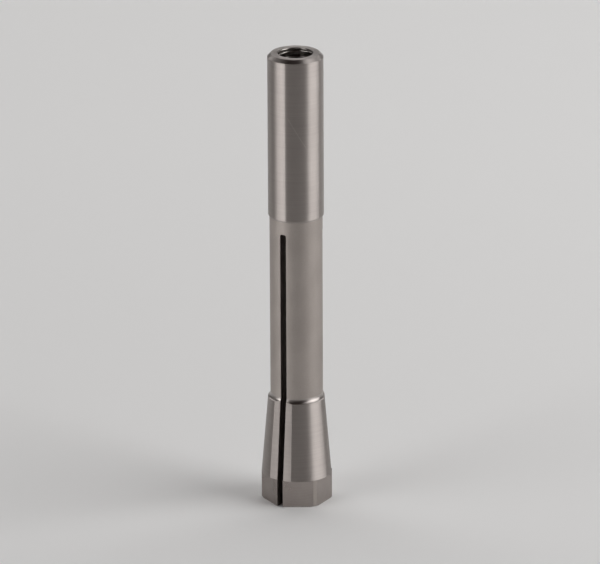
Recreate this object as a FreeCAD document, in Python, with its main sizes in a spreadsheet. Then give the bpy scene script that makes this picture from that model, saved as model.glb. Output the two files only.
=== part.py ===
import FreeCAD, Part
import math
import os

import Sketcher

# A spindle collet, turned and ground from one bar of steel and slotted into three fingers.
# It stands on its hexagonal nose: the origin is the centre of the nose face and +Z runs
# along the axis to the threaded rear end, which a drawbar pulls to close the fingers.
# All lengths are millimetres and all angles are degrees.

SIZES = (
    ("overall_length", 67.3, "nose face to rear face"),
    ("shank_diameter", 8.0, "ground guide that runs in the spindle bore"),
    ("shank_length", 23.9, "rear face to the bevel above the neck"),
    ("neck_relief", 0.19, "depth of the neck below the shank, on the radius"),
    ("head_diameter", 10.3, "large end of the closing taper"),
    ("head_length", 15.6, "nose face to the small end of the taper"),
    ("ledge_step", 0.35, "height of the taper's small end above the neck, on the radius"),
    ("bevel_angle", 30.0, "slope across the hollow ledge and of the neck's rear bevel"),
    ("rear_chamfer", 0.5, "45 degree chamfer round the rear face"),
    ("nose_chamfer", 0.2, "45 degree chamfer that breaks the corners of the nose"),
    ("hexagon_length", 4.05, "nose face to the shoulder above the flats"),
    ("across_flats", 9.2, "spanner size of the hexagon"),
    ("flat_count", 6, "flats milled round the nose"),
    ("relief_half_angle", 20.0, "slot's middle to the edge of the flat beside it, round the axis"),
    ("slot_width", 0.9, "gap between two fingers"),
    ("slot_setback", 2.0, "end of the slots below the neck's rear end"),
    ("slot_corner_radius", 0.25, "corners of a slot's end"),
    ("slot_count", 3, "slots, and so fingers"),
    ("thread_diameter", 5.0, "major diameter of the drawbar thread"),
    ("thread_pitch", 0.8, "pitch of the drawbar thread"),
    ("thread_length", 12.0, "full thread from the rear face"),
    ("thread_chamfer", 0.05, "45 degree lead-in outside the thread's major diameter"),
    ("clamping_diameter", 3.0, "bore that grips the tool shank"),
    ("clamping_length", 16.0, "depth of the clamping bore from the nose face"),
    ("clamping_chamfer", 0.25, "45 degree lead-in of the clamping bore"),
    ("drill_point_angle", 59.0, "slope that the tap drill leaves at its end, from the axis"),
)

doc = FreeCAD.newDocument("collet")


# The sheet of driving sizes. Every feature below is bound to these cells.

sheet = doc.addObject("Spreadsheet::Sheet", "Sizes")
for row, (alias, size, meaning) in enumerate(SIZES, start=1):
    sheet.set("A%d" % row, alias)
    sheet.set("B%d" % row, str(size))
    sheet.set("C%d" % row, meaning)
    sheet.setAlias("B%d" % row, alias)
doc.recompute()

# Radii and heights that several features share, as expressions of the sheet.

SHANK_RADIUS = "Sizes.shank_diameter / 2"
NECK_RADIUS = "Sizes.shank_diameter / 2 - Sizes.neck_relief"
TAPER_SMALL_RADIUS = NECK_RADIUS + " + Sizes.ledge_step"
HEAD_RADIUS = "Sizes.head_diameter / 2"
THREAD_RADIUS = "Sizes.thread_diameter / 2"
CORE_RADIUS = "(Sizes.thread_diameter - Sizes.thread_pitch) / 2"
CLAMPING_RADIUS = "Sizes.clamping_diameter / 2"
CORE_STEP = "(Sizes.thread_diameter - Sizes.thread_pitch - Sizes.clamping_diameter) / 2"

NECK_FRONT = "Sizes.head_length + Sizes.ledge_step / tan(Sizes.bevel_angle)"
SHANK_FRONT = "Sizes.overall_length - Sizes.shank_length"
NECK_REAR = SHANK_FRONT + " - Sizes.neck_relief / tan(Sizes.bevel_angle)"
SLOT_END = NECK_REAR + " - Sizes.slot_setback"
TAPER_RISE = "Sizes.head_diameter / 2 - (%s)" % TAPER_SMALL_RADIUS
TAPER_SLOPE = "(%s) / (Sizes.head_length - Sizes.hexagon_length)" % TAPER_RISE
THREAD_FRONT = "Sizes.overall_length - Sizes.thread_length"
THREAD_RUNOUT = THREAD_FRONT + " - Sizes.thread_pitch / 2"
CORE_FRONT = "Sizes.clamping_length + %s / tan(Sizes.drill_point_angle)" % CORE_STEP


def value(expression):
    """The number that an expression of the sheet gives now."""
    return float(sheet.evalExpression(expression))


def origin_feature(body, role):
    """The body's own origin plane or axis with this role."""
    return next(feature for feature in body.Origin.OriginFeatures if feature.Role == role)


def new_sketch(body, name, plane):
    """An empty sketch on one of the body's origin planes."""
    sketch = body.newObject("Sketcher::SketchObject", name)
    sketch.AttachmentSupport = [(origin_feature(body, plane), "")]
    sketch.MapMode = "FlatFace"
    sketch.Visibility = False
    return sketch


def add_loop(sketch, sides, sharp_end=None):
    """Add the sides of a closed outline in order.

    An arc meets its neighbours tangentially, except where the side numbered sharp_end ends.
    """
    for side in sides:
        sketch.addGeometry(side, False)
    for index, side in enumerate(sides):
        following = (index + 1) % len(sides)
        round_corner = Part.ArcOfCircle in (type(side), type(sides[following]))
        kind = "Tangent" if round_corner and index != sharp_end else "Coincident"
        sketch.addConstraint(Sketcher.Constraint(kind, index, 2, following, 1))


def bind(sketch, name, constraint, expression):
    """Add a dimension under a name of its own and drive it from the sheet."""
    index = sketch.addConstraint(constraint)
    sketch.renameConstraint(index, name)
    sketch.setExpression("Constraints." + name, expression)


def hollow_arc(start, end):
    """The arc that leaves the start along the axis and curves outwards to the end."""
    reach = end - start
    radius = reach.dot(reach) / (2 * reach.x)
    middle = start + FreeCAD.Vector(radius, 0, 0)
    turned = math.atan2(middle.y - end.y, middle.x - end.x)
    circle = Part.Circle(middle, FreeCAD.Vector(0, 0, 1), radius)
    return Part.ArcOfCircle(circle, math.pi, math.pi + turned)


def half_section(body, name, corners, hollow=None):
    """A closed half-section beside the axis, given as named corners.

    Each corner has a radius and a height. None stands for zero, which puts the corner
    on the axis or on the plane of the nose face. The side from the corner named hollow
    is an arc that runs on smoothly from the side before it.
    """
    sketch = new_sketch(body, name, "XZ_Plane")
    points = []
    for corner, radius, height in corners:
        across = value(radius) if radius else 0
        along = value(height) if height else 0
        points.append(FreeCAD.Vector(across, along, 0))
    following = points[1:] + points[:1]
    sides = [Part.LineSegment(*ends) for ends in zip(points, following)]
    names = [corner for corner, radius, height in corners]
    hollow_side = names.index(hollow) if hollow else None
    if hollow:
        sides[hollow_side] = hollow_arc(points[hollow_side], following[hollow_side])
    add_loop(sketch, sides, sharp_end=hollow_side)
    for index, (corner, radius, height) in enumerate(corners):
        if radius:
            across = Sketcher.Constraint("DistanceX", -1, 1, index, 1, points[index].x)
            bind(sketch, corner + "_radius", across, radius)
        else:
            sketch.addConstraint(Sketcher.Constraint("PointOnObject", index, 1, -2))
        if height:
            along = Sketcher.Constraint("DistanceY", -1, 1, index, 1, points[index].y)
            bind(sketch, corner + "_height", along, height)
        else:
            sketch.addConstraint(Sketcher.Constraint("PointOnObject", index, 1, -1))
    return sketch


def turn(body, kind, name, section):
    """Revolve a half-section about the axis, as metal or as a cut."""
    feature = body.newObject(kind, name)
    feature.Profile = section
    feature.ReferenceAxis = (section, ["V_Axis"])
    feature.Angle = 360
    doc.recompute()
    return feature


def mill(body, name, outline, depth, both_ways=False):
    """Cut an outline to a depth along its plane's normal, or half of it to each side."""
    feature = body.newObject("PartDesign::Pocket", name)
    feature.Profile = outline
    feature.SideType = "Symmetric" if both_ways else "One side"
    feature.Reversed = not both_ways
    feature.setExpression("Length", depth)
    doc.recompute()
    return feature


def index_round(body, name, cut, count):
    """Repeat a cut evenly round the collet's axis."""
    pattern = body.newObject("PartDesign::PolarPattern", name)
    pattern.Originals = [cut]
    pattern.Axis = (origin_feature(body, "Z_Axis"), [""])
    pattern.Angle = 360
    pattern.setExpression("Occurrences", count)
    body.Tip = pattern
    doc.recompute()
    return pattern


collet = doc.addObject("PartDesign::Body", "collet")
collet.Label = "collet"
collet.Placement = FreeCAD.Placement()


# The outside, turned in one setting. From the rear: the shank, the bevel down to the relieved
# neck, a short ledge that the tool's nose left hollow, the closing taper and the cylinder
# that the hexagon is milled from.

turned_outline = half_section(collet, "turned_outline", (
    ("rear_centre", None, "Sizes.overall_length"),
    ("rear_edge", SHANK_RADIUS + " - Sizes.rear_chamfer", "Sizes.overall_length"),
    ("rear_chamfer_start", SHANK_RADIUS, "Sizes.overall_length - Sizes.rear_chamfer"),
    ("shank_front", SHANK_RADIUS, SHANK_FRONT),
    ("neck_rear", NECK_RADIUS, NECK_REAR),
    ("neck_front", NECK_RADIUS, NECK_FRONT),
    ("taper_small_end", TAPER_SMALL_RADIUS, "Sizes.head_length"),
    ("taper_large_end", HEAD_RADIUS, "Sizes.hexagon_length"),
    ("nose_chamfer_end", HEAD_RADIUS, "Sizes.nose_chamfer"),
    ("nose_edge", HEAD_RADIUS + " - Sizes.nose_chamfer", None),
    ("nose_centre", None, None),
), hollow="neck_front")
turned_blank = turn(collet, "PartDesign::Revolution", "turned_blank", turned_outline)


# The inside. From the nose: the reamed clamping bore, the slope of the tap drill's point,
# the relief bore at the tap drill's size and the drawbar thread at its major diameter.

bore_outline = half_section(collet, "bore_outline", (
    ("bore_nose_centre", None, None),
    ("clamping_mouth", CLAMPING_RADIUS + " + Sizes.clamping_chamfer", None),
    ("clamping_front", CLAMPING_RADIUS, "Sizes.clamping_chamfer"),
    ("clamping_rear", CLAMPING_RADIUS, "Sizes.clamping_length"),
    ("core_front", CORE_RADIUS, CORE_FRONT),
    ("core_rear", CORE_RADIUS, THREAD_RUNOUT),
    ("thread_front", THREAD_RADIUS, THREAD_FRONT),
    ("thread_rear", THREAD_RADIUS, "Sizes.overall_length - Sizes.thread_chamfer"),
    ("thread_mouth", THREAD_RADIUS + " + Sizes.thread_chamfer", "Sizes.overall_length"),
    ("bore_rear_centre", None, "Sizes.overall_length"),
))
stepped_bore = turn(collet, "PartDesign::Groove", "stepped_bore", bore_outline)


# The hexagon. One flat is milled up to the shoulder and repeated. The bar is smaller than
# the hexagon's points, so thin turned lands stay at the corners.

flat_outline = new_sketch(collet, "flat_outline", "XY_Plane")
side = value(HEAD_RADIUS)
inner = -value("Sizes.across_flats / 2")
outer = -value("Sizes.head_diameter")
flat_corners = [
    FreeCAD.Vector(-side, inner, 0),
    FreeCAD.Vector(side, inner, 0),
    FreeCAD.Vector(side, outer, 0),
    FreeCAD.Vector(-side, outer, 0),
]
add_loop(flat_outline, [
    Part.LineSegment(*ends) for ends in zip(flat_corners, flat_corners[1:] + flat_corners[:1])
])
flat_outline.addConstraint([
    Sketcher.Constraint("Vertical", 1),
    Sketcher.Constraint("Horizontal", 2),
    Sketcher.Constraint("Vertical", 3),
    Sketcher.Constraint("Symmetric", 0, 1, 0, 2, -2),
])
cutter_width = Sketcher.Constraint("DistanceX", 0, 1, 0, 2, 2 * side)
bind(flat_outline, "cutter_width", cutter_width, "Sizes.head_diameter")
apothem = Sketcher.Constraint("DistanceY", 0, 1, -1, 1, -inner)
bind(flat_outline, "apothem", apothem, "Sizes.across_flats / 2")
past_the_bar = Sketcher.Constraint("DistanceY", 2, 1, -1, 1, -outer)
bind(flat_outline, "past_the_bar", past_the_bar, "Sizes.head_diameter")
first_flat = mill(collet, "first_flat", flat_outline, "Sizes.hexagon_length")
hexagon = index_round(collet, "hexagon", first_flat, "Sizes.flat_count")


# The relief flats. The taper is ground flat where a slot will run, so that the fingers' edges
# don't drag in the spindle. A flat narrows with the taper, starts at the hexagon's shoulder
# and runs out in the hollow ledge.

RELIEF_DEPTH = "cos(Sizes.relief_half_angle)"
LEDGE_DROP = "(%s) * ((%s) - Sizes.head_length)" % (TAPER_SLOPE, NECK_FRONT)
RELIEF_FRONT_RADIUS = "%s * %s" % (HEAD_RADIUS, RELIEF_DEPTH)
RELIEF_REAR_RADIUS = "(%s - %s) * %s" % (TAPER_SMALL_RADIUS, LEDGE_DROP, RELIEF_DEPTH)
relief_outline = half_section(collet, "relief_outline", (
    ("relief_front", RELIEF_FRONT_RADIUS, "Sizes.hexagon_length"),
    ("relief_rear", RELIEF_REAR_RADIUS, NECK_FRONT),
    ("beyond_rear", "Sizes.head_diameter", NECK_FRONT),
    ("beyond_front", "Sizes.head_diameter", "Sizes.hexagon_length"),
))
first_relief = mill(collet, "first_relief", relief_outline, "Sizes.head_diameter", both_ways=True)
reliefs = index_round(collet, "reliefs", first_relief, "Sizes.slot_count")


# The slots. One is cut from the axis outwards through a corner of the hexagon. It runs out
# through the nose and ends with rounded corners just short of the shank.

slot_outline = new_sketch(collet, "slot_outline", "YZ_Plane")
side = value("Sizes.slot_width / 2")
below = -value("Sizes.slot_width")
end = value(SLOT_END)
corner = value("Sizes.slot_corner_radius")
right_centre = FreeCAD.Vector(side - corner, end - corner, 0)
left_centre = FreeCAD.Vector(corner - side, end - corner, 0)
normal = FreeCAD.Vector(0, 0, 1)
add_loop(slot_outline, [
    Part.LineSegment(FreeCAD.Vector(side, below, 0), FreeCAD.Vector(side, end - corner, 0)),
    Part.ArcOfCircle(Part.Circle(right_centre, normal, corner), 0, math.pi / 2),
    Part.LineSegment(FreeCAD.Vector(side - corner, end, 0), FreeCAD.Vector(corner - side, end, 0)),
    Part.ArcOfCircle(Part.Circle(left_centre, normal, corner), math.pi / 2, math.pi),
    Part.LineSegment(FreeCAD.Vector(-side, end - corner, 0), FreeCAD.Vector(-side, below, 0)),
    Part.LineSegment(FreeCAD.Vector(-side, below, 0), FreeCAD.Vector(side, below, 0)),
])
slot_outline.addConstraint([
    Sketcher.Constraint("Vertical", 0),
    Sketcher.Constraint("Horizontal", 2),
    Sketcher.Constraint("Vertical", 4),
    Sketcher.Constraint("Symmetric", 5, 1, 5, 2, -2),
    Sketcher.Constraint("Equal", 1, 3),
])
width = Sketcher.Constraint("DistanceX", 5, 1, 5, 2, 2 * side)
bind(slot_outline, "width", width, "Sizes.slot_width")
corner_radius = Sketcher.Constraint("Radius", 1, corner)
bind(slot_outline, "corner_radius", corner_radius, "Sizes.slot_corner_radius")
slot_height = Sketcher.Constraint("DistanceY", -1, 1, 2, 1, end)
bind(slot_outline, "slot_height", slot_height, SLOT_END)
past_the_nose = Sketcher.Constraint("DistanceY", 5, 1, -1, 1, -below)
bind(slot_outline, "past_the_nose", past_the_nose, "Sizes.slot_width")
first_slot = mill(collet, "first_slot", slot_outline, "Sizes.head_diameter")
slots = index_round(collet, "slots", first_slot, "Sizes.slot_count")


# Nothing is written unless every feature is sound and every cut has removed metal.

for feature in doc.Objects:
    if "Invalid" in feature.State or "Error" in feature.State:
        raise RuntimeError(feature.Name + " failed")
stages = (
    turned_blank, stepped_bore, first_flat, hexagon, first_relief, reliefs, first_slot, slots
)
for before, after in zip(stages, stages[1:]):
    if not after.Shape.Volume < before.Shape.Volume:
        raise RuntimeError(after.Name + " removed nothing")
if collet.Shape.isNull() or not collet.Shape.isValid() or len(collet.Shape.Solids) != 1:
    raise RuntimeError("the collet is not one sound solid")

os.makedirs("parts", exist_ok=True)
collet.Shape.exportStep("parts/" + collet.Label + ".step")
box = collet.Shape.BoundBox
print("collet %.2f x %.2f x %.2f mm, %.1f mm3" % (
    box.XLength, box.YLength, box.ZLength, collet.Shape.Volume))
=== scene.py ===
import math

import bmesh
import bpy
from mathutils import Matrix, Vector


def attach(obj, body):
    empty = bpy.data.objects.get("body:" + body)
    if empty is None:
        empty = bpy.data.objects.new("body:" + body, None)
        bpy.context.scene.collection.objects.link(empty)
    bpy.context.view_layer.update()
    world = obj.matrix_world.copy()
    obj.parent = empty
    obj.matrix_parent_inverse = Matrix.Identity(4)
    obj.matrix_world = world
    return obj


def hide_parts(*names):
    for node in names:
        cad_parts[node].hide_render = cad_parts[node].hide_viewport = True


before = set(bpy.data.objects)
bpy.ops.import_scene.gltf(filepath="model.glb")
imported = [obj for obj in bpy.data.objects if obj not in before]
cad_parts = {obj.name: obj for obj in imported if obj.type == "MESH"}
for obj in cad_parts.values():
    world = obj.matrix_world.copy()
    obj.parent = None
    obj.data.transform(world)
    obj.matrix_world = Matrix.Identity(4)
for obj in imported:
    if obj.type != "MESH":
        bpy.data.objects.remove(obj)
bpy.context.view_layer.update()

# --- Camera -----------------------------------------------------------------------------------
# A long lens about a metre off, looking down on the collet by 19 degrees. The place and the lens
# come from the collet's own edges in the photograph; the sensor is 36 mm wide.
MM = 0.001
LOOK_AT = Vector((0.524, 0.0, 32.839)) * MM
DISTANCE = 1004.9 * MM
LOOK_DOWN = math.radians(19.198)
LEAN = math.radians(-0.256)

camera_data = bpy.data.cameras.new("camera")
camera_data.lens = 420.0
camera_data.sensor_width = 36.0
camera_data.clip_start = 0.02
camera_data.clip_end = 20.0
camera = bpy.data.objects.new("camera", camera_data)
away = Vector((0.0, -math.cos(LOOK_DOWN), math.sin(LOOK_DOWN)))
camera.matrix_world = (
    Matrix.Translation(LOOK_AT + away * DISTANCE)
    @ Matrix.Rotation(math.pi / 2 - LOOK_DOWN, 4, "X")
    @ Matrix.Rotation(LEAN, 4, "Z")
)
bpy.context.scene.collection.objects.link(camera)
bpy.context.scene.camera = camera
bpy.context.scene.view_settings.view_transform = "Standard"

# --- Paper sweep ------------------------------------------------------------------------------
# One wide sheet of matt white paper. It lies flat under the collet, turns up in a low rim all
# round and stands as a tall wall behind, so every view has the same pale ground.
PAPER_FLAT = 1.15
PAPER_RIM = 0.16
PAPER_WALL = 1.5
# painted light: the sheet's colour runs from the near colour to the paler far one
PAPER_NEAR = (0.832, 0.832, 0.826, 1.0)
PAPER_FAR = (0.888, 0.888, 0.880, 1.0)


def paper_rows(direction):
    """Distance from the middle and height of the sheet along one direction, in metres."""
    behind = max(0.0, min(1.0, (direction.y - 0.35) / 0.35))
    behind = behind * behind * (3 - 2 * behind)
    top = PAPER_RIM + (PAPER_WALL - PAPER_RIM) * behind
    bend = 0.12 + 0.30 * behind
    rows = [(0.02, 0.0), (0.1, 0.0), (0.3, 0.0), (0.6, 0.0), (PAPER_FLAT - 0.1, 0.0)]
    for step in range(1, 13):
        turn = math.radians(90 * step / 12)
        rows.append((PAPER_FLAT + bend * math.sin(turn), min(top, bend * (1 - math.cos(turn)))))
    rows.append((PAPER_FLAT + bend, top))
    return rows


paper = bmesh.new()
middle = paper.verts.new((0, 0, 0))
SPOKES = 96
spokes = []
for spoke in range(SPOKES):
    angle = 2 * math.pi * spoke / SPOKES
    direction = Vector((math.cos(angle), math.sin(angle), 0))
    spokes.append([
        paper.verts.new(direction * out + Vector((0, 0, up))) for out, up in paper_rows(direction)
    ])
for spoke in range(SPOKES):
    here, there = spokes[spoke], spokes[(spoke + 1) % SPOKES]
    paper.faces.new((middle, here[0], there[0]))
    for row in range(len(here) - 1):
        paper.faces.new((here[row], here[row + 1], there[row + 1], there[row]))
for face in paper.faces:
    face.smooth = True
paper_mesh = bpy.data.meshes.new("paper_sweep")
paper.to_mesh(paper_mesh)
paper.free()
paper_sheet = bpy.data.objects.new("paper_sweep", paper_mesh)
bpy.context.scene.collection.objects.link(paper_sheet)

# matt, with painted light: a little paler towards the wall
paper_white = bpy.data.materials.new("matt_white_paper")
paper_white.use_nodes = True
paper_shader = paper_white.node_tree.nodes["Principled BSDF"]
paper_nodes, paper_links = paper_white.node_tree.nodes, paper_white.node_tree.links
paper_place = paper_nodes.new("ShaderNodeSeparateXYZ")
paper_links.new(paper_nodes.new("ShaderNodeTexCoord").outputs["Object"], paper_place.inputs[0])
paper_painted_light_share = paper_nodes.new("ShaderNodeMapRange")
paper_painted_light_share.inputs["From Min"].default_value = -0.12
paper_painted_light_share.inputs["From Max"].default_value = 0.16
paper_links.new(paper_place.outputs["Y"], paper_painted_light_share.inputs["Value"])
paper_painted_light = paper_nodes.new("ShaderNodeMix")
paper_painted_light.data_type = "RGBA"
paper_painted_light.inputs[6].default_value = PAPER_NEAR
paper_painted_light.inputs[7].default_value = PAPER_FAR
paper_links.new(paper_painted_light_share.outputs["Result"], paper_painted_light.inputs["Factor"])
paper_links.new(paper_painted_light.outputs[2], paper_shader.inputs["Base Color"])
paper_shader.inputs["Roughness"].default_value = 0.9
paper_shader.inputs["Specular IOR Level"].default_value = 0.2
paper_mesh.materials.append(paper_white)

# --- Soft lights ------------------------------------------------------------------------------
# Softboxes stand in a dim room: a tall one to the right, a low one to the front left, and a broad
# panel high behind. The space in front, round the lens, stays dark, so the steel shows stripes.
LIGHT_DISTANCE = 0.7
SOFTBOXES = [
    # name, azimuth (0 the camera's side, 90 to the right), lowest and highest elevation,
    # half its width as an angle, radiance
    ("right_low", 80, 2, 30, 27.5, 2.4),
    ("right_low_core", 78, 2, 30, 14, 0.57),
    ("right_mid", 76, 30, 46, 28, 3.0),
    ("right_mid_core", 76, 30, 46, 14, 1.1),
    ("right_top", 76, 46, 66, 28, 1.1),
    ("left_low", -55.5, 2, 22, 12.5, 5.1),
    ("left_low_side", -75, 2, 22, 7, 4.0),
    ("left_low_end", -88, 2, 22, 6, 1.5),
    ("left_edge", -84, 2, 44, 12, 0.2),
    ("left_high", -60, 22, 52, 14, 0.6),
    ("back_high", 180, 30, 66, 50, 1.4),
    ("back_low", 165, 1, 9, 32, 0.7),
]

room = bpy.data.worlds.new("dim_room")
bpy.context.scene.world = room
room.use_nodes = True
room.node_tree.nodes["Background"].inputs["Color"].default_value = (0.014, 0.005, 0.004, 1)
room.node_tree.nodes["Background"].inputs["Strength"].default_value = 1.0

for name, azimuth, lowest, highest, half_width, radiance in SOFTBOXES:
    turn = math.radians(azimuth)
    up = math.radians((lowest + highest) / 2)
    light = bpy.data.lights.new(name, "AREA")
    light.shape = "RECTANGLE"
    light.size = 2 * LIGHT_DISTANCE * math.cos(up) * math.tan(math.radians(half_width))
    light.size_y = 2 * LIGHT_DISTANCE * math.tan(math.radians((highest - lowest) / 2))
    light.energy = radiance * math.pi * light.size * light.size_y
    outward = Vector((math.sin(turn) * math.cos(up), -math.cos(turn) * math.cos(up), math.sin(up)))
    lamp = bpy.data.objects.new(name, light)
    lamp.matrix_world = (
        Matrix.Translation(outward * LIGHT_DISTANCE)
        @ outward.to_track_quat("Z", "Y").to_matrix().to_4x4()
    )
    lamp.visible_camera = False
    bpy.context.scene.collection.objects.link(lamp)

# --- Collet body ------------------------------------------------------------------------------
# One piece of hardened spring steel: turned from bar, drilled through, a hexagon milled under the
# head, three slots sawn from the nose, then shank and taper ground. Between the slots stand three
# equal fingers, so one finger is made here and Geometry Nodes repeat it round the axis.
SHANK_R = 4.0
NECK_R = 3.81
REAR_CHAMFER = 0.5
LENGTH = 67.3
TAPER_LARGE_R = 5.15
TAPER_SMALL_R = 4.16
TAPER_LOW = 4.05
TAPER_HIGH = 15.6
LEDGE_TOP = 16.351
LEDGE_SWEEP = math.radians(78)
LEDGE_STEPS = 18
NECK_TOP = 42.951
SHANK_LOW = 43.28
FLAT_APOTHEM = 4.6
NOSE_CHAMFER = 0.2
SLOT_HALF = 0.45
SLOT_END = 41.07
SLOT_CORNER = 0.25
SLOT_BREAK = 0.05
RELIEF_HALF = math.radians(20)
RELIEF_SHARE = 0.65
FINGERS = 3
SECTOR = math.radians(120)
SHARP = math.radians(3.6)

SHANK_OUTLINE = [
    (NECK_TOP, NECK_R),
    (SHANK_LOW, SHANK_R),
    (LENGTH - REAR_CHAMFER, SHANK_R),
    (LENGTH, SHANK_R - REAR_CHAMFER),
]
BORE = [
    (0.0, 1.75),
    (0.25, 1.5),
    (16.0, 1.5),
    (16.36, 2.1),
    (54.9, 2.1),
    (55.3, 2.5),
    (67.25, 2.5),
    (LENGTH, 2.55),
]
NOSE_STEPS = 5
CORNER_STEPS = 8
FLAT_STEPS = 20
RELIEF_STEPS = 5
FLAT_CORNERS = FLAT_STEPS + 3
STRIPS = 2 * FLAT_STEPS + 6
LAND_STRIPS = range(FLAT_STEPS + 1, FLAT_STEPS + 5)
RELIEF_STRIPS = (*range(RELIEF_STEPS + 1), *range(STRIPS - RELIEF_STEPS - 1, STRIPS))
GROUND, MATT, MILLED, SAWN, BORED, FACED, RELIEVED = range(7)


class Finish:
    """A steel material under construction: its shader, and nodes that read the place on it."""

    def __init__(self, name, roughness, anisotropic=0.0):
        self.material = bpy.data.materials.new(name)
        self.material.use_nodes = True
        self.nodes, self.links = self.material.node_tree.nodes, self.material.node_tree.links
        self.shader = self.nodes["Principled BSDF"]
        self.shader.inputs["Metallic"].default_value = 1.0
        self.shader.inputs["Roughness"].default_value = roughness
        self.shader.inputs["Anisotropic"].default_value = anisotropic
        self.place = self.nodes.new("ShaderNodeTexCoord").outputs["Object"]

    def reckon(self, operation, *values):
        """A Math node on sockets and numbers."""
        node = self.nodes.new("ShaderNodeMath")
        node.operation = operation
        for number, value in enumerate(values):
            if isinstance(value, (int, float)):
                node.inputs[number].default_value = value
            else:
                self.links.new(value, node.inputs[number])
        return node.outputs[0]

    def aim(self, operation, first, second=(0.0, 0.0, 0.0)):
        """A Vector Math node; a dot product or a length comes out as a number."""
        node = self.nodes.new("ShaderNodeVectorMath")
        node.operation = operation
        for number, value in enumerate((first, second)):
            if isinstance(value, tuple):
                node.inputs[number].default_value = value
            else:
                self.links.new(value, node.inputs[number])
        return node.outputs["Value" if operation in ("DOT_PRODUCT", "LENGTH") else "Vector"]

    def grain(self, across, along, detail=2.0, shift=0.0):
        """Noise with so many spots to the metre across the axis and along it, from 0 to 1."""
        spots = self.nodes.new("ShaderNodeMapping")
        spots.inputs["Scale"].default_value = (across, across, along)
        spots.inputs["Location"].default_value = (shift, shift, shift)
        self.links.new(self.place, spots.inputs["Vector"])
        noise = self.nodes.new("ShaderNodeTexNoise")
        noise.inputs["Scale"].default_value = 1.0
        noise.inputs["Detail"].default_value = detail
        self.links.new(spots.outputs[0], noise.inputs["Vector"])
        return noise.outputs["Fac"]

    def spread(self, value, low, high, start=0.3, end=0.7):
        """A value between start and end carried over to between low and high, smoothly."""
        node = self.nodes.new("ShaderNodeMapRange")
        node.interpolation_type = "SMOOTHSTEP"
        limits = {"From Min": start, "From Max": end, "To Min": low, "To Max": high}
        for name, number in limits.items():
            node.inputs[name].default_value = number
        self.links.new(value, node.inputs["Value"])
        return node.outputs["Result"]

    def mixed(self, share, first, second):
        """A colour between two, by a share from 0 to 1."""
        node = self.nodes.new("ShaderNodeMix")
        node.data_type = "RGBA"
        self.links.new(share, node.inputs["Factor"])
        for number, colour in ((6, first), (7, second)):
            if isinstance(colour, tuple):
                node.inputs[number].default_value = (*colour, 1)
            else:
                self.links.new(colour, node.inputs[number])
        return node.outputs[2]

    def lines_round_the_axis(self):
        """Turns the gloss so that it stretches along the axis, across the circular lines."""
        apart = self.nodes.new("ShaderNodeSeparateXYZ")
        self.links.new(self.place, apart.inputs[0])
        around = self.nodes.new("ShaderNodeCombineXYZ")
        self.links.new(self.reckon("MULTIPLY", apart.outputs["Y"], -1.0), around.inputs["X"])
        self.links.new(apart.outputs["X"], around.inputs["Y"])
        facing = self.nodes.new("ShaderNodeNewGeometry").outputs["Normal"]
        across = self.aim("CROSS_PRODUCT", facing, around.outputs[0])
        self.links.new(self.aim("NORMALIZE", across), self.shader.inputs["Tangent"])

    def relief(self, height, metres):
        """A bump whose height from 0 to 1 stands for so many metres."""
        node = self.nodes.new("ShaderNodeBump")
        node.inputs["Strength"].default_value = 1.0
        node.inputs["Distance"].default_value = metres
        self.links.new(height, node.inputs["Height"])
        return node.outputs["Normal"]

    def end(self, colour, roughness, normal):
        """Joins what was made to the shader and gives the material."""
        for name, value in (("Base Color", colour), ("Roughness", roughness), ("Normal", normal)):
            self.links.new(value, self.shader.inputs[name])
        return self.material


# ground shank and taper: fine circular lines, a faint cloudiness and one long hair scratch
SCRATCH_ENDS = (Vector((-1.20, -3.82, 58.81)), Vector((1.50, -3.71, 54.21)))
ground = Finish("ground_steel", 0.37, 1.0)
ground.lines_round_the_axis()
lines = ground.grain(60.0, 7000.0)
clouds = ground.grain(260.0, 180.0, shift=3.0)
fine = ground.reckon("MULTIPLY", lines, 0.45)
tone = ground.reckon("ADD", fine, ground.reckon("MULTIPLY", clouds, 0.55))
colour = ground.mixed(ground.spread(tone, 0.0, 1.0), (0.372, 0.337, 0.318), (0.428, 0.389, 0.368))
along_scratch = (SCRATCH_ENDS[1] - SCRATCH_ENDS[0]).normalized()
scratch_plane = along_scratch.cross(Vector((0.0, -1.0, 0.0))).normalized()
scratch_off = scratch_plane.dot(SCRATCH_ENDS[0]) * MM
off_scratch = ground.aim("DOT_PRODUCT", ground.place, tuple(scratch_plane))
off_scratch = ground.reckon("ABSOLUTE", ground.reckon("SUBTRACT", off_scratch, scratch_off))
in_scratch = ground.spread(off_scratch, 1.0, 0.0, 0.02 * MM, 0.09 * MM)
middle_of_scratch = tuple((SCRATCH_ENDS[0] + SCRATCH_ENDS[1]) / 2 * MM)
from_middle = ground.aim("LENGTH", ground.aim("SUBTRACT", ground.place, middle_of_scratch))
near_middle = ground.spread(from_middle, 1.0, 0.0, 2.2 * MM, 3.0 * MM)
in_scratch = ground.reckon("MULTIPLY", in_scratch, near_middle)
colour = ground.mixed(ground.reckon("MULTIPLY", in_scratch, 0.35), colour, (0.62, 0.58, 0.55))
ground_steel = ground.end(colour, ground.spread(clouds, 0.35, 0.39), ground.relief(lines, 0.25e-6))

# the reliefs beside the slots: ground dry on the flat of a stone, duller than the taper
relieved = Finish("relieved_steel", 0.52, 1.0)
relieved.lines_round_the_axis()
lines = relieved.grain(60.0, 4000.0)
clouds = relieved.grain(500.0, 300.0, shift=5.0)
tone = relieved.reckon("MULTIPLY_ADD", lines, 0.4, relieved.reckon("MULTIPLY", clouds, 0.6))
colour = relieved.mixed(
    relieved.spread(tone, 0.0, 1.0), (0.372, 0.337, 0.318), (0.428, 0.389, 0.368)
)
relieved_steel = relieved.end(
    colour, relieved.spread(clouds, 0.49, 0.55), relieved.relief(lines, 0.3e-6)
)

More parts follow.
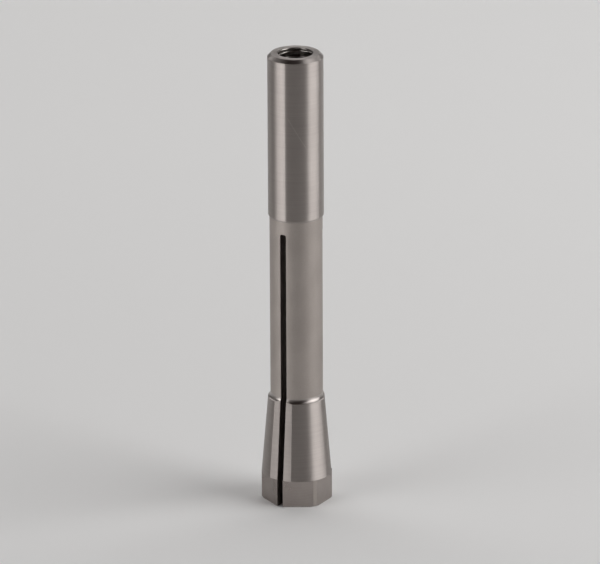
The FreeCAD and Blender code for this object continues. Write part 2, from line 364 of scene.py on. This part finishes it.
# matt neck: turned, then blasted with fine grit
matt = Finish("matt_steel", 0.5)
grit = matt.grain(7000.0, 7000.0, detail=3.0)
clouds = matt.grain(350.0, 220.0, shift=7.0)
tone = matt.reckon("ADD", matt.reckon("MULTIPLY", grit, 0.35), matt.reckon("MULTIPLY", clouds, 0.65))
colour = matt.mixed(matt.spread(tone, 0.0, 1.0), (0.358, 0.322, 0.298), (0.412, 0.372, 0.346))
matt_steel = matt.end(colour, matt.spread(clouds, 0.47, 0.53), matt.relief(grit, 1.2e-6))

# milled hexagon: arcs left by the cutter, which swept each flat from below
milled = Finish("milled_steel", 0.30)
cutter_middle = (0.0, 0.0, -9.0 * MM)
from_cutter = milled.aim("LENGTH", milled.aim("SUBTRACT", milled.place, cutter_middle))
arcs = milled.reckon("SINE", milled.reckon("MULTIPLY", from_cutter, 2 * math.pi / (0.22 * MM)))
arcs = milled.reckon("MULTIPLY_ADD", arcs, 0.5, 0.5)
clouds = milled.grain(420.0, 420.0, shift=11.0)
fine = milled.reckon("MULTIPLY", arcs, 0.2)
tone = milled.reckon("ADD", fine, milled.reckon("MULTIPLY", clouds, 0.8))
colour = milled.mixed(milled.spread(tone, 0.0, 1.0), (0.335, 0.296, 0.278), (0.385, 0.345, 0.325))
milled_steel = milled.end(colour, milled.spread(clouds, 0.27, 0.33), milled.relief(arcs, 0.5e-6))

# slot walls and bore: rough from the saw and the drill, darkened in hardening; the bore's near-black
# colour is painted shade of the deep hole
sawn = Finish("sawn_steel", 0.5)
strokes = sawn.grain(3500.0, 500.0, detail=3.0)
colour = sawn.mixed(sawn.spread(strokes, 0.0, 1.0), (0.210, 0.185, 0.170), (0.290, 0.262, 0.245))
sawn_steel = sawn.end(colour, sawn.spread(strokes, 0.45, 0.58), sawn.relief(strokes, 4e-6))
bored = Finish("bored_steel_painted_shade", 0.5)
rings = bored.grain(80.0, 5200.0)
# painted shade: the bore's colour is near black, for the shade deep in the hole
colour = bored.mixed(bored.spread(rings, 0.0, 1.0), (0.020, 0.018, 0.016), (0.040, 0.036, 0.033))
bored_steel_painted_shade = bored.end(colour, bored.spread(rings, 0.42, 0.55), bored.relief(rings, 1.5e-6))

# faces and chamfers from the lathe: circular lines of the tool's feed
faced = Finish("faced_steel", 0.31, 0.45)
faced.lines_round_the_axis()
out = faced.aim("LENGTH", faced.aim("MULTIPLY", faced.place, (1.0, 1.0, 0.0)))
feed = faced.reckon("SINE", faced.reckon("MULTIPLY", out, 2 * math.pi / (0.09 * MM)))
feed = faced.reckon("MULTIPLY_ADD", feed, 0.5, 0.5)
clouds = faced.grain(700.0, 700.0, shift=17.0)
tone = faced.reckon("ADD", faced.reckon("MULTIPLY", feed, 0.3), faced.reckon("MULTIPLY", clouds, 0.7))
colour = faced.mixed(faced.spread(tone, 0.0, 1.0), (0.355, 0.325, 0.308), (0.415, 0.380, 0.360))
faced_steel = faced.end(colour, faced.spread(clouds, 0.29, 0.35), faced.relief(feed, 0.25e-6))

# cut thread: bright from the tap
cut = Finish("threaded_steel", 0.2)
tears = cut.grain(900.0, 4000.0, detail=3.0)
colour = cut.mixed(cut.spread(tears, 0.0, 1.0), (0.42, 0.39, 0.37), (0.56, 0.53, 0.50))
threaded_steel = cut.end(colour, cut.spread(tears, 0.16, 0.24), cut.relief(tears, 1.0e-6))
FINISHES = [
    ground_steel, matt_steel, milled_steel, sawn_steel, bored_steel_painted_shade, faced_steel, relieved_steel
]


def bore_radius(z):
    """Radius of the bore at height z."""
    for (z0, r0), (z1, r1) in zip(BORE, BORE[1:]):
        if z0 <= z <= z1:
            return r0 + (r1 - r0) * (z - z0) / (z1 - z0)


def land_half_angle(r):
    """Half the angle of the turned land that the flats leave at a corner, in radians."""
    return math.radians(30) - math.acos(min(1.0, FLAT_APOTHEM / r))


def relief_reach(z, flats):
    """Distance from the axis to the flat beside the slots; endless where there is none."""
    if flats or not TAPER_LOW <= z <= LEDGE_TOP:
        return math.inf
    slope = (TAPER_LARGE_R - TAPER_SMALL_R) / (TAPER_HIGH - TAPER_LOW)
    return (TAPER_LARGE_R - slope * (z - TAPER_LOW)) * math.cos(RELIEF_HALF)


def relief_angle(z, r, flats):
    """Where the relief flat ends in a row, as an angle from the slot's middle."""
    return math.acos(min(1.0, relief_reach(z, flats) / r))


def relieved_radius(z, r, from_slot, flats=False):
    """Radius at an angle from the slot's middle: the relief is crowned, short of a true flat."""
    flat = min(r, relief_reach(z, flats) / math.cos(from_slot))
    return r + (flat - r) * RELIEF_SHARE


def slot_reach(z, r, side, flats):
    """How far out the surface lies along the slot's direction, at a distance from its middle."""
    round_reach = math.sqrt(r * r - side * side)
    from_slot = math.atan2(side, round_reach)
    reach = math.sqrt(relieved_radius(z, r, from_slot, flats) ** 2 - side * side)
    if flats:
        reach = min(reach, (FLAT_APOTHEM - side * 0.5) / math.cos(math.radians(30)))
    return reach


# where the front edge of a relief crosses the edge of the hexagon's flat, found by halving
CROSSING, beyond = math.radians(3), math.radians(15)
for _ in range(40):
    halfway = (CROSSING + beyond) / 2
    hexagon_out = FLAT_APOTHEM / math.cos(halfway - math.radians(30))
    if hexagon_out > relieved_radius(TAPER_LOW, TAPER_LARGE_R, halfway):
        CROSSING = halfway
    else:
        beyond = halfway


def finger_angles(first, land, relief=RELIEF_HALF):
    """Angles of a finger's columns from one slot's middle to the next, in radians."""
    start = min(max(first, CROSSING), (first + relief) / 2)
    sixty = math.radians(60)
    wide_steps = FLAT_STEPS - RELIEF_STEPS
    half = [first, start]
    half += [start + (relief - start) * k / RELIEF_STEPS for k in range(1, RELIEF_STEPS + 1)]
    half += [relief + (sixty - land - relief) * k / wide_steps for k in range(1, wide_steps + 1)]
    half += [sixty - land + land * k / 2 for k in (1, 2)]
    return half + [2 * sixty - a for a in reversed(half[:-1])]


finger = bmesh.new()
finish_layer = finger.faces.layers.int.new("finish")
made = {}


def corner(angle, r, z):
    """The vertex at a place on the finger, in metres, made once."""
    place = (round(r * math.cos(angle), 6), round(r * math.sin(angle), 6), round(z, 6))
    if place not in made:
        made[place] = finger.verts.new(Vector(place) * MM)
    return made[place]


def skin(corners, finish):
    """A face through the corners that differ, with its finish noted on it."""
    ring = []
    for vertex in corners:
        if vertex not in ring:
            ring.append(vertex)
    if len(ring) > 2:
        face = finger.faces.new(ring)
        face[finish_layer] = finish


def surface_row(z, r, side, flats=False):
    """One row of the outside, from slot edge to slot edge."""
    first = math.atan2(side, slot_reach(z, r, side, flats))
    relief = relief_angle(z, r, flats)
    land = land_half_angle(r if flats else TAPER_LARGE_R)
    row = []
    for angle in finger_angles(first, land, relief if relief > first else RELIEF_HALF):
        from_slot = min(angle, SECTOR - angle)
        out = relieved_radius(z, r, from_slot, flats)
        if flats:
            out = min(r, FLAT_APOTHEM / math.cos(from_slot - math.radians(30)))
        row.append(corner(angle, out, z))
    return row


def edge_pair(z, r, side, flats=False):
    """The two ends of a row of the slots' walls, just under the broken edge."""
    reach = slot_reach(z, r, side, flats) - SLOT_BREAK
    angle = math.atan2(side, reach)
    out = math.hypot(side, reach)
    return corner(angle, out, z), corner(SECTOR - angle, out, z)


def bore_row(z, r, side):
    """One row of the bore, from slot wall to slot wall."""
    first = math.asin(side / r)
    return [corner(a, r, z) for a in finger_angles(first, land_half_angle(TAPER_LARGE_R))]


def strip(low, high, finish, others=(), other_finish=None):
    """Faces between two rows; the strips numbered in others have another finish."""
    for k in range(len(low) - 1):
        own = other_finish if k in others else finish
        skin((low[k], low[k + 1], high[k + 1], high[k]), own)


# the outside below the slot's end, with its broken edges
straight_end = SLOT_END - SLOT_CORNER
rows = []
for k in range(NOSE_STEPS + 1):
    z = NOSE_CHAMFER * k / NOSE_STEPS
    rows.append((z, TAPER_LARGE_R - NOSE_CHAMFER + z, True, FACED))
rows.append((TAPER_LOW, TAPER_LARGE_R, True, MILLED))
rows.append((TAPER_LOW, TAPER_LARGE_R, False, MILLED))
rows.append((TAPER_HIGH, TAPER_SMALL_R, False, GROUND))
for k in range(1, LEDGE_STEPS + 1):
    turn = LEDGE_SWEEP * (1 - k / LEDGE_STEPS)
    down = (LEDGE_TOP - TAPER_HIGH) * math.sin(turn) / math.sin(LEDGE_SWEEP)
    out = (TAPER_SMALL_R - NECK_R) * (1 - math.cos(turn)) / (1 - math.cos(LEDGE_SWEEP))
    rows.append((LEDGE_TOP - down, NECK_R + out, False, FACED))
rows.append((straight_end, NECK_R, False, MATT))
outside = []
for z, r, flats, finish in rows:
    row = surface_row(z, r, SLOT_HALF + SLOT_BREAK, flats)
    pair = edge_pair(z, r, SLOT_HALF, flats)
    outside.append((row, pair, finish, relief_angle(z, r, flats) > CROSSING / 2))
for k in range(1, CORNER_STEPS + 1):
    turn = math.radians(90 * k / CORNER_STEPS)
    wide = SLOT_HALF - SLOT_CORNER
    broken = SLOT_CORNER + SLOT_BREAK
    row = surface_row(
        straight_end + broken * math.sin(turn), NECK_R, wide + broken * math.cos(turn)
    )
    pair = edge_pair(
        straight_end + SLOT_CORNER * math.sin(turn), NECK_R, wide + SLOT_CORNER * math.cos(turn)
    )
    outside.append((row, pair, MATT, False))
for (row, pair, _, flat), (next_row, next_pair, finish, next_flat) in zip(outside, outside[1:]):
    if row is outside[NOSE_STEPS + 1][0]:
        # the hexagon's shoulder: a step up at the slots, and the taper's underside beyond
        low = [pair[0], *row, pair[1]]
        high = [next_pair[0], *next_row, next_pair[1]]
        for under, over in ((low, high), (low[::-1], high[::-1])):
            skin(under[:3] + over[2::-1], MILLED)
            skin(under[2:FLAT_CORNERS] + over[FLAT_CORNERS - 1:1:-1], MILLED)
        continue
    edge_finish = SAWN if finish in (GROUND, MATT) else finish
    if finish == MILLED:
        strip(row, next_row, finish, LAND_STRIPS, MATT)
    elif flat and next_flat:
        strip(row, next_row, finish, RELIEF_STRIPS, RELIEVED)
    else:
        strip(row, next_row, finish)
    skin((pair[0], row[0], next_row[0], next_pair[0]), edge_finish)
    skin((row[-1], pair[1], next_pair[1], next_row[-1]), edge_finish)

# the bore below the slot's end
inside = []
for z, r in BORE:
    if z < straight_end:
        inside.append(bore_row(z, r, SLOT_HALF))
inside.append(bore_row(straight_end, bore_radius(straight_end), SLOT_HALF))
corner_inside = []
for k in range(1, CORNER_STEPS + 1):
    turn = math.radians(90 * k / CORNER_STEPS)
    z = straight_end + SLOT_CORNER * math.sin(turn)
    corner_inside.append(
        bore_row(z, bore_radius(z), SLOT_HALF - SLOT_CORNER + SLOT_CORNER * math.cos(turn))
    )
for low, high in zip(inside + corner_inside, inside[1:] + corner_inside):
    strip(high, low, BORED)

# the slots' two walls, their rounded corners, and the nose face
for end, first in ((0, 0), (1, -1)):
    wall = [pair[end] for _, pair, *_ in outside[:len(rows)]]
    wall += [row[first] for row in reversed(inside)]
    skin(wall, SAWN)
    arc = [pair[end] for _, pair, *_ in outside[len(rows) - 1:]]
    arc_inside = [row[first] for row in [inside[-1]] + corner_inside]
    for k in range(CORNER_STEPS):
        skin((arc[k], arc[k + 1], arc_inside[k + 1], arc_inside[k]), SAWN)
nose_row, nose_pair, *_ = outside[0]
skin([nose_pair[0], *nose_row, nose_pair[1], *reversed(inside[0])], FACED)

# the closed tube above the slots
top_side = SLOT_HALF - SLOT_CORNER


def closed_row(row, r, z):
    """A row of the tube, carried on to the middles of the two slots."""
    return [corner(0, r, z), *row, corner(SECTOR, r, z)]


tube = [closed_row(outside[-1][0], NECK_R, SLOT_END + SLOT_BREAK)]
finishes = [MATT, GROUND, GROUND, FACED]
for z, r in SHANK_OUTLINE:
    tube.append(closed_row(surface_row(z, r, top_side), r, z))
for low, high, finish in zip(tube, tube[1:], finishes):
    strip(low, high, finish)
bore_tube = [closed_row(corner_inside[-1], bore_radius(SLOT_END), SLOT_END)]
for z, r in BORE[4:]:
    bore_tube.append(closed_row(bore_row(z, r, top_side), r, z))
for low, high in zip(bore_tube, bore_tube[1:]):
    strip(high, low, BORED)
strip(tube[-1], bore_tube[-1], FACED)

# the slots' square ends
for gap, row_end, bore_end in ((0, 0, 0), (SECTOR, 1, -1)):
    roof = corner(gap, NECK_R - SLOT_BREAK, SLOT_END)
    above = corner(gap, NECK_R, SLOT_END + SLOT_BREAK)
    edge = outside[-1][1][row_end]
    edge_above = outside[-1][0][bore_end]
    bore_middle = corner(gap, bore_radius(SLOT_END), SLOT_END)
    skin((roof, edge, corner_inside[-1][bore_end], bore_middle), SAWN)
    skin((above, edge_above, edge, roof), MATT)

finger_mesh = bpy.data.meshes.new("finger")
for finish_steel in FINISHES:
    finger_mesh.materials.append(finish_steel)
finger.to_mesh(finger_mesh)
finger.free()
body = bpy.data.objects.new("collet_body", finger_mesh)
bpy.context.scene.collection.objects.link(body)


fingers_round = bpy.data.node_groups.new("fingers_round_the_axis", "GeometryNodeTree")
fingers_round.interface.new_socket("Finger", in_out="INPUT", socket_type="NodeSocketGeometry")
count_in = fingers_round.interface.new_socket(
    "Number of Fingers", in_out="INPUT", socket_type="NodeSocketInt"
)
weld_in = fingers_round.interface.new_socket(
    "Weld Distance", in_out="INPUT", socket_type="NodeSocketFloat"
)
fingers_round.interface.new_socket("Collet", in_out="OUTPUT", socket_type="NodeSocketGeometry")
nodes, links = fingers_round.nodes, fingers_round.links
entry = nodes.new("NodeGroupInput")
leave = nodes.new("NodeGroupOutput")
spots = nodes.new("GeometryNodeMeshLine")
spots.inputs["Offset"].default_value = (0, 0, 0)
links.new(entry.outputs["Number of Fingers"], spots.inputs["Count"])
index = nodes.new("GeometryNodeInputIndex")
share = nodes.new("ShaderNodeMath")
share.operation = "DIVIDE"
links.new(index.outputs[0], share.inputs[0])
links.new(entry.outputs["Number of Fingers"], share.inputs[1])
turned = nodes.new("ShaderNodeMath")
turned.operation = "MULTIPLY"
turned.inputs[1].default_value = 2 * math.pi
links.new(share.outputs[0], turned.inputs[0])
about_axis = nodes.new("ShaderNodeCombineXYZ")
links.new(turned.outputs[0], about_axis.inputs["Z"])
as_rotation = nodes.new("FunctionNodeEulerToRotation")
links.new(about_axis.outputs[0], as_rotation.inputs[0])
instances = nodes.new("GeometryNodeInstanceOnPoints")
links.new(spots.outputs[0], instances.inputs["Points"])
links.new(entry.outputs["Finger"], instances.inputs["Instance"])
links.new(as_rotation.outputs[0], instances.inputs["Rotation"])
realized = nodes.new("GeometryNodeRealizeInstances")
links.new(instances.outputs[0], realized.inputs[0])
welded = nodes.new("GeometryNodeMergeByDistance")
links.new(realized.outputs[0], welded.inputs["Geometry"])
links.new(entry.outputs["Weld Distance"], welded.inputs["Distance"])
finish_of = nodes.new("GeometryNodeInputNamedAttribute")
finish_of.data_type = "INT"
finish_of.inputs["Name"].default_value = "finish"
finished = welded.outputs[0]
for number, finish_steel in enumerate(FINISHES):
    same = nodes.new("FunctionNodeCompare")
    same.data_type = "INT"
    same.operation = "EQUAL"
    links.new(finish_of.outputs["Attribute"], same.inputs[2])
    same.inputs[3].default_value = number
    dressed = nodes.new("GeometryNodeSetMaterial")
    dressed.inputs["Material"].default_value = finish_steel
    links.new(finished, dressed.inputs["Geometry"])
    links.new(same.outputs[0], dressed.inputs["Selection"])
    finished = dressed.outputs[0]
links.new(finished, leave.inputs[0])

repeat = body.modifiers.new("fingers", "NODES")
repeat.node_group = fingers_round
repeat[count_in.identifier] = FINGERS
repeat[weld_in.identifier] = 0.0005 * MM
body.update_tag()
bpy.context.view_layer.update()
evaluated = body.evaluated_get(bpy.context.evaluated_depsgraph_get())
body_mesh = bpy.data.meshes.new_from_object(evaluated)
body.modifiers.clear()
body.data = body_mesh

welding = bmesh.new()
welding.from_mesh(body_mesh)
bmesh.ops.recalc_face_normals(welding, faces=welding.faces)
for face in welding.faces:
    face.smooth = True
for edge in welding.edges:
    edge.smooth = len(edge.link_faces) == 2 and edge.calc_face_angle() < SHARP
welding.to_mesh(body_mesh)
welding.free()
body_mesh.name = "collet_body"
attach(body, "root")
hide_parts("collet")

# --- Drawbar thread ---------------------------------------------------------------------------
# The rear hole is tapped right-handed for the spindle's drawbar. Between the thread's grooves a
# ridge of the same steel winds down the bore; a 60 degree centre cone cuts off its first turn.
THREAD_R = 2.5
THREAD_SIZES = {
    "Wall Radius": THREAD_R * MM,
    "Crest Radius": 2.1 * MM,
    "Root Width": 0.70 * MM,
    "Crest Width": 0.24 * MM,
    "Bed Depth": 0.02 * MM,
    "Pitch": 0.8 * MM,
    "Turns": 14.5,
    "Start Height": 56.13 * MM,
    "Mouth Height": LENGTH * MM,
    "Cone Slope": math.tan(math.radians(30)),
    "First Turn": math.radians(90),
}
STEPS_PER_TURN = 64
STEPS_PER_SIDE = 5

ridge_tree = bpy.data.node_groups.new("ridge_along_a_helix", "GeometryNodeTree")
size_inputs = {}
for name in THREAD_SIZES:
    size_inputs[name] = ridge_tree.interface.new_socket(
        name, in_out="INPUT", socket_type="NodeSocketFloat"
    )
ridge_tree.interface.new_socket("Ridge", in_out="OUTPUT", socket_type="NodeSocketGeometry")
nodes, links = ridge_tree.nodes, ridge_tree.links
size_of = nodes.new("NodeGroupInput").outputs
leave = nodes.new("NodeGroupOutput")


def reckon(operation, *values):
    """A Math node in the thread's tree, on sockets and numbers; gives its result."""
    node = nodes.new("ShaderNodeMath")
    node.operation = operation
    for number, value in enumerate(values):
        if isinstance(value, (int, float)):
            node.inputs[number].default_value = value
        else:
            links.new(value, node.inputs[number])
    return node.outputs[0]


def placed(geometry, translation=None, rotation_z=None):
    """A Transform Geometry node: moves a shape along the axis or turns it about the axis."""
    node = nodes.new("GeometryNodeTransform")
    links.new(geometry, node.inputs["Geometry"])
    if translation is not None:
        links.new(translation, node.inputs["Translation"])
    if rotation_z is not None:
        turn = nodes.new("ShaderNodeCombineXYZ")
        links.new(rotation_z, turn.inputs["Z"])
        links.new(turn.outputs[0], node.inputs["Rotation"])
    return node.outputs[0]


# the helix, with its normals level so that the tooth stays square to the axis
helix = nodes.new("GeometryNodeCurveSpiral")
helix.inputs["Resolution"].default_value = STEPS_PER_TURN
links.new(size_of["Turns"], helix.inputs["Rotations"])
links.new(size_of["Wall Radius"], helix.inputs["Start Radius"])
links.new(size_of["Wall Radius"], helix.inputs["End Radius"])
links.new(reckon("MULTIPLY", size_of["Pitch"], size_of["Turns"]), helix.inputs["Height"])
level = nodes.new("GeometryNodeSetCurveNormal")
level.mode = "Z_UP"
links.new(helix.outputs[0], level.inputs["Curve"])

# the tooth's section: broad in its bed in the wall, narrow at its crest
tooth = nodes.new("GeometryNodeCurvePrimitiveQuadrilateral")
tooth.mode = "TRAPEZOID"
tall = reckon("SUBTRACT", size_of["Wall Radius"], size_of["Crest Radius"])
tall = reckon("ADD", tall, size_of["Bed Depth"])
links.new(tall, tooth.inputs["Height"])
links.new(size_of["Root Width"], tooth.inputs["Bottom Width"])
links.new(size_of["Crest Width"], tooth.inputs["Top Width"])
tooth.inputs["Offset"].default_value = 0.0
inward = placed(tooth.outputs[0], rotation_z=reckon("RADIANS", 90.0))
bedded = nodes.new("ShaderNodeCombineXYZ")
half_tall = reckon("MULTIPLY", tall, -0.5)
links.new(reckon("ADD", half_tall, size_of["Bed Depth"]), bedded.inputs["X"])
section = placed(inward, translation=bedded.outputs[0])
finer = nodes.new("GeometryNodeSubdivideCurve")
finer.inputs["Cuts"].default_value = STEPS_PER_SIDE
links.new(section, finer.inputs["Curve"])

swept = nodes.new("GeometryNodeCurveToMesh")
swept.inputs["Fill Caps"].default_value = True
links.new(level.outputs[0], swept.inputs["Curve"])
links.new(finer.outputs[0], swept.inputs["Profile Curve"])
upward = nodes.new("ShaderNodeCombineXYZ")
links.new(size_of["Start Height"], upward.inputs["Z"])
raised = placed(swept.outputs[0], translation=upward.outputs[0], rotation_z=size_of["First Turn"])

# the centre cone: what is nearer the axis than the cone moves out onto it
where = nodes.new("ShaderNodeSeparateXYZ")
links.new(nodes.new("GeometryNodeInputPosition").outputs[0], where.inputs[0])
out_x, out_y, height = where.outputs
square = reckon("ADD", reckon("MULTIPLY", out_x, out_x), reckon("MULTIPLY", out_y, out_y))
from_axis = reckon("SQRT", square)
below_mouth = reckon("SUBTRACT", size_of["Mouth Height"], height)
cone_depth = reckon("MULTIPLY", reckon("MAXIMUM", below_mouth, 0.0), size_of["Cone Slope"])
cone_r = reckon("SUBTRACT", size_of["Wall Radius"], cone_depth)
grow = reckon("DIVIDE", reckon("MAXIMUM", from_axis, cone_r), from_axis)
trimmed = nodes.new("ShaderNodeCombineXYZ")
links.new(reckon("MULTIPLY", out_x, grow), trimmed.inputs["X"])
links.new(reckon("MULTIPLY", out_y, grow), trimmed.inputs["Y"])
lip = reckon("SUBTRACT", size_of["Mouth Height"], 0.05 * MM)
links.new(reckon("MINIMUM", height, lip), trimmed.inputs["Z"])
countersunk = nodes.new("GeometryNodeSetPosition")
links.new(raised, countersunk.inputs["Geometry"])
links.new(trimmed.outputs[0], countersunk.inputs["Position"])
made_real = nodes.new("GeometryNodeRealizeInstances")
links.new(countersunk.outputs[0], made_real.inputs[0])
threaded = nodes.new("GeometryNodeSetMaterial")
threaded.inputs["Material"].default_value = threaded_steel
links.new(made_real.outputs[0], threaded.inputs["Geometry"])
links.new(threaded.outputs[0], leave.inputs[0])

ridge_mesh = bpy.data.meshes.new("drawbar_thread")
ridge = bpy.data.objects.new("drawbar_thread", ridge_mesh)
bpy.context.scene.collection.objects.link(ridge)
winding = ridge.modifiers.new("thread", "NODES")
winding.node_group = ridge_tree
for name, size in THREAD_SIZES.items():
    winding[size_inputs[name].identifier] = size
ridge.update_tag()
bpy.context.view_layer.update()
wound = ridge.evaluated_get(bpy.context.evaluated_depsgraph_get())
ridge_mesh = bpy.data.meshes.new_from_object(wound)
ridge_mesh.name = "drawbar_thread"
ridge.modifiers.clear()
ridge.data = ridge_mesh
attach(ridge, "root")
